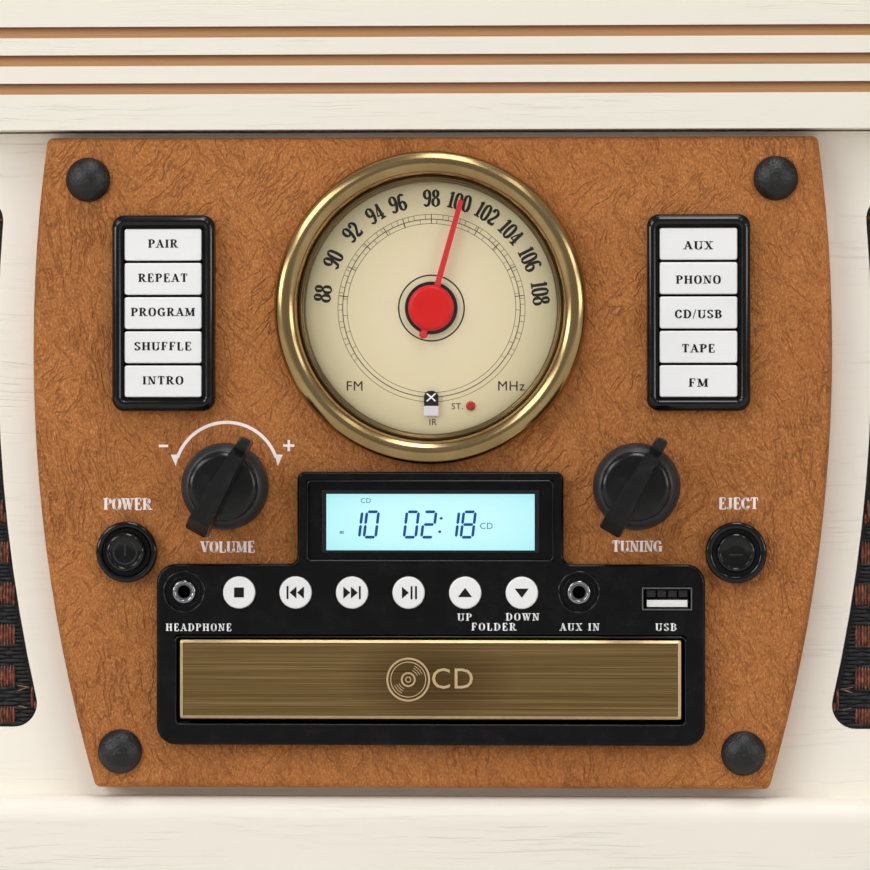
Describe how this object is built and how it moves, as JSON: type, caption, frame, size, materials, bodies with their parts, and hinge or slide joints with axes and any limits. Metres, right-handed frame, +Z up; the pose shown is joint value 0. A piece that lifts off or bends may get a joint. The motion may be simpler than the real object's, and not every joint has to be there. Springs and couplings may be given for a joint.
{
  "type": "stereo music centre",
  "caption": "Ivory wooden table-top music centre with a leatherette panel, round tuning dial, lit display, disc drawer, keys, cloth grilles and a record deck under its lid.",
  "frame": {"origin": "middle of the footprint, on the surface that the feet stand on", "axes": "+X to the right of someone facing the front, +Y to the back, +Z up"},
  "size_m": [0.53, 0.393, 0.3],
  "materials": {
    "ivory_paint": "satin paint over wood grain",
    "plain_board": "bare board",
    "tan_leatherette": "grained",
    "speaker_cloth": "basket weave",
    "black_satin": "satin",
    "black_gloss": "gloss",
    "white_gloss": "gloss",
    "brass": "polished",
    "aged_brass": "brushed and lacquered",
    "cream_face": "printed",
    "clear_lens": "clear",
    "red_plastic": "gloss",
    "screen": "lit",
    "plated_steel": "plated",
    "zinc_steel": "plain",
    "rubber": "matt",
    "circuit_board": "matt",
    "aluminium": "satin",
    "cord": "braided"
  },
  "bodies": {
    "cabinet": {"side_panels": "ivory_paint", "front_baffle": "ivory_paint", "back_panel": "plain_board", "base_plinth": "ivory_paint", "rubber_feet": "rubber", "grille_panels": "speaker_cloth", "speaker_drivers": "black_satin", "control_panel": "tan_leatherette", "panel_studs": "black_satin", "dial_bezel": "brass", "dial_face": "cream_face", "dial_lens": "clear_lens", "display_fascia": "black_satin", "display_module": "screen", "button_surrounds": "black_satin", "front_sockets": "plated_steel", "cd_drive": "black_satin", "turntable_deck": "black_satin", "turntable_drive": "zinc_steel", "cassette_bay": "black_satin", "amplifier_board": "circuit_board", "control_board": "circuit_board", "rear_terminals": "black_satin", "cabinet_hardware": "aged_brass", "tuning_cord": "cord"},
    "lid": {"lid_shell": "ivory_paint", "lid_hardware": "aged_brass"},
    "disc_drawer": {"cd_tray": "black_satin", "cd_tray_front": "aged_brass"},
    "platter": {"platter": "aluminium", "platter_mat": "rubber"},
    "volume_knob": {"volume_knob": "black_gloss"},
    "tuning_knob": {"tuning_knob": "black_gloss"},
    "dial_pointer": {"dial_pointer": "red_plastic"},
    "power_button": {"power_button": "black_satin"},
    "eject_button": {"eject_button": "black_satin"},
    "motor_pulley": {"motor_pulley": "brass"},
    "tonearm_yoke": {"tonearm_yoke": "black_satin"},
    "tonearm": {"tonearm": "aluminium"},
    "cue_lever": {"cue_lever": "black_gloss"},
    "speed_lever": {"speed_lever": "black_gloss"},
    "stop_switch": {"stop_switch": "black_gloss"},
    "cassette_flap": {"cassette_flap": "black_satin"},
    "cassette_key": {"cassette_key": "black_gloss"},
    "left_key_1": {"left_key_1": "white_gloss"},
    "left_key_2": {"left_key_2": "white_gloss"},
    "left_key_3": {"left_key_3": "white_gloss"},
    "left_key_4": {"left_key_4": "white_gloss"},
    "left_key_5": {"left_key_5": "white_gloss"},
    "right_key_1": {"right_key_1": "white_gloss"},
    "right_key_2": {"right_key_2": "white_gloss"},
    "right_key_3": {"right_key_3": "white_gloss"},
    "right_key_4": {"right_key_4": "white_gloss"},
    "right_key_5": {"right_key_5": "white_gloss"},
    "stop_button": {"stop_button": "white_gloss"},
    "previous_button": {"previous_button": "white_gloss"},
    "next_button": {"next_button": "white_gloss"},
    "play_button": {"play_button": "white_gloss"},
    "folder_up_button": {"folder_up_button": "white_gloss"},
    "folder_down_button": {"folder_down_button": "white_gloss"}
  },
  "joints": [
    {"name": "lid_hinge", "type": "hinge", "parent": "cabinet", "child": "lid", "pos_m": [0, 0.1919, 0.2308], "axis": [-1, 0, 0], "range_deg": [0, 72]},
    {"name": "volume_turn", "type": "hinge", "parent": "cabinet", "child": "volume_knob", "pos_m": [-0.0601, -0.1725, 0.1268], "axis": [0, 1, 0], "range_deg": [-178.8, 121.2]},
    {"name": "tuning_turn", "type": "hinge", "parent": "cabinet", "child": "tuning_knob", "pos_m": [0.0601, -0.1725, 0.1268], "axis": [0, 1, 0], "range_deg": [-294, 201]},
    {"name": "pointer_turn", "type": "hinge", "parent": "cabinet", "child": "dial_pointer", "pos_m": [0, -0.1725, 0.1789], "axis": [0, 1, 0], "range_deg": [-99, 68]},
    {"name": "left_key_1_press", "type": "slide", "parent": "cabinet", "child": "left_key_1", "axis": [0, 1, 0], "range_m": [0, 0.001], "stiffness_N_per_m": 400, "springref_m": -0.002},
    {"name": "left_key_2_press", "type": "slide", "parent": "cabinet", "child": "left_key_2", "axis": [0, 1, 0], "range_m": [0, 0.001], "stiffness_N_per_m": 400, "springref_m": -0.002},
    {"name": "left_key_3_press", "type": "slide", "parent": "cabinet", "child": "left_key_3", "axis": [0, 1, 0], "range_m": [0, 0.001], "stiffness_N_per_m": 400, "springref_m": -0.002},
    {"name": "left_key_4_press", "type": "slide", "parent": "cabinet", "child": "left_key_4", "axis": [0, 1, 0], "range_m": [0, 0.001], "stiffness_N_per_m": 400, "springref_m": -0.002},
    {"name": "left_key_5_press", "type": "slide", "parent": "cabinet", "child": "left_key_5", "axis": [0, 1, 0], "range_m": [0, 0.001], "stiffness_N_per_m": 400, "springref_m": -0.002},
    {"name": "right_key_1_press", "type": "slide", "parent": "cabinet", "child": "right_key_1", "axis": [0, 1, 0], "range_m": [0, 0.001], "stiffness_N_per_m": 400, "springref_m": -0.002},
    {"name": "right_key_2_press", "type": "slide", "parent": "cabinet", "child": "right_key_2", "axis": [0, 1, 0], "range_m": [0, 0.001], "stiffness_N_per_m": 400, "springref_m": -0.002},
    {"name": "right_key_3_press", "type": "slide", "parent": "cabinet", "child": "right_key_3", "axis": [0, 1, 0], "range_m": [0, 0.001], "stiffness_N_per_m": 400, "springref_m": -0.002},
    {"name": "right_key_4_press", "type": "slide", "parent": "cabinet", "child": "right_key_4", "axis": [0, 1, 0], "range_m": [0, 0.001], "stiffness_N_per_m": 400, "springref_m": -0.002},
    {"name": "right_key_5_press", "type": "slide", "parent": "cabinet", "child": "right_key_5", "axis": [0, 1, 0], "range_m": [0, 0.001], "stiffness_N_per_m": 400, "springref_m": -0.002},
    {"name": "stop_press", "type": "slide", "parent": "cabinet", "child": "stop_button", "axis": [0, 1, 0], "range_m": [0, 0.0008], "stiffness_N_per_m": 400, "springref_m": -0.002},
    {"name": "previous_press", "type": "slide", "parent": "cabinet", "child": "previous_button", "axis": [0, 1, 0], "range_m": [0, 0.0008], "stiffness_N_per_m": 400, "springref_m": -0.002},
    {"name": "next_press", "type": "slide", "parent": "cabinet", "child": "next_button", "axis": [0, 1, 0], "range_m": [0, 0.0008], "stiffness_N_per_m": 400, "springref_m": -0.002},
    {"name": "play_press", "type": "slide", "parent": "cabinet", "child": "play_button", "axis": [0, 1, 0], "range_m": [0, 0.0008], "stiffness_N_per_m": 400, "springref_m": -0.002},
    {"name": "folder_up_press", "type": "slide", "parent": "cabinet", "child": "folder_up_button", "axis": [0, 1, 0], "range_m": [0, 0.0008], "stiffness_N_per_m": 400, "springref_m": -0.002},
    {"name": "folder_down_press", "type": "slide", "parent": "cabinet", "child": "folder_down_button", "axis": [0, 1, 0], "range_m": [0, 0.0008], "stiffness_N_per_m": 400, "springref_m": -0.002},
    {"name": "power_press", "type": "slide", "parent": "cabinet", "child": "power_button", "axis": [0, 1, 0], "range_m": [0, 0.0025], "stiffness_N_per_m": 300, "springref_m": -0.003},
    {"name": "eject_press", "type": "slide", "parent": "cabinet", "child": "eject_button", "axis": [0, 1, 0], "range_m": [0, 0.0015], "stiffness_N_per_m": 300, "springref_m": -0.003},
    {"name": "drawer_slide", "type": "slide", "parent": "cabinet", "child": "disc_drawer", "axis": [0, -1, 0], "range_m": [0, 0.135]},
    {"name": "platter_spin", "type": "hinge", "parent": "cabinet", "child": "platter", "pos_m": [-0.062, 0.012, 0.226], "axis": [0, 0, -1], "continuous": true},
    {"name": "pulley_spin", "type": "hinge", "parent": "cabinet", "child": "motor_pulley", "pos_m": [-0.11715, 0.05828, 0.226], "axis": [0, 0, -1], "continuous": true},
    {"name": "tonearm_swing", "type": "hinge", "parent": "cabinet", "child": "tonearm_yoke", "pos_m": [0.13, 0.12, 0.226], "axis": [0, 0, -1], "range_deg": [0, 46]},
    {"name": "tonearm_lift", "type": "hinge", "parent": "tonearm_yoke", "child": "tonearm", "pos_m": [0.13, 0.12, 0.254], "axis": [-1, 0, 0], "range_deg": [0, 6]},
    {"name": "cue_turn", "type": "hinge", "parent": "cabinet", "child": "cue_lever", "pos_m": [0.172, 0.07, 0.236], "axis": [-1, 0, 0], "range_deg": [0, 60]},
    {"name": "speed_turn", "type": "hinge", "parent": "cabinet", "child": "speed_lever", "pos_m": [0.185, -0.06, 0.226], "axis": [0, 0, 1], "range_deg": [0, 60]},
    {"name": "stop_slide", "type": "slide", "parent": "cabinet", "child": "stop_switch", "axis": [0, 1, 0], "range_m": [0, 0.006]},
    {"name": "flap_swing", "type": "hinge", "parent": "cabinet", "child": "cassette_flap", "pos_m": [0.249, 0.03, 0.155], "axis": [0, 1, 0], "range_deg": [0, 75], "stiffness_Nm_per_rad": 0.004, "springref_deg": -17.19},
    {"name": "cassette_press", "type": "slide", "parent": "cabinet", "child": "cassette_key", "axis": [-1, 0, 0], "range_m": [0, 0.004], "stiffness_N_per_m": 300, "springref_m": -0.003}
  ],
  "couplings": [
    {"joint": "pointer_turn", "follows": "tuning_turn", "ratio": 0.33333},
    {"joint": "pulley_spin", "follows": "platter_spin", "ratio": 8},
    {"joint": "cue_turn", "follows": "tonearm_lift", "ratio": 10}
  ]
}
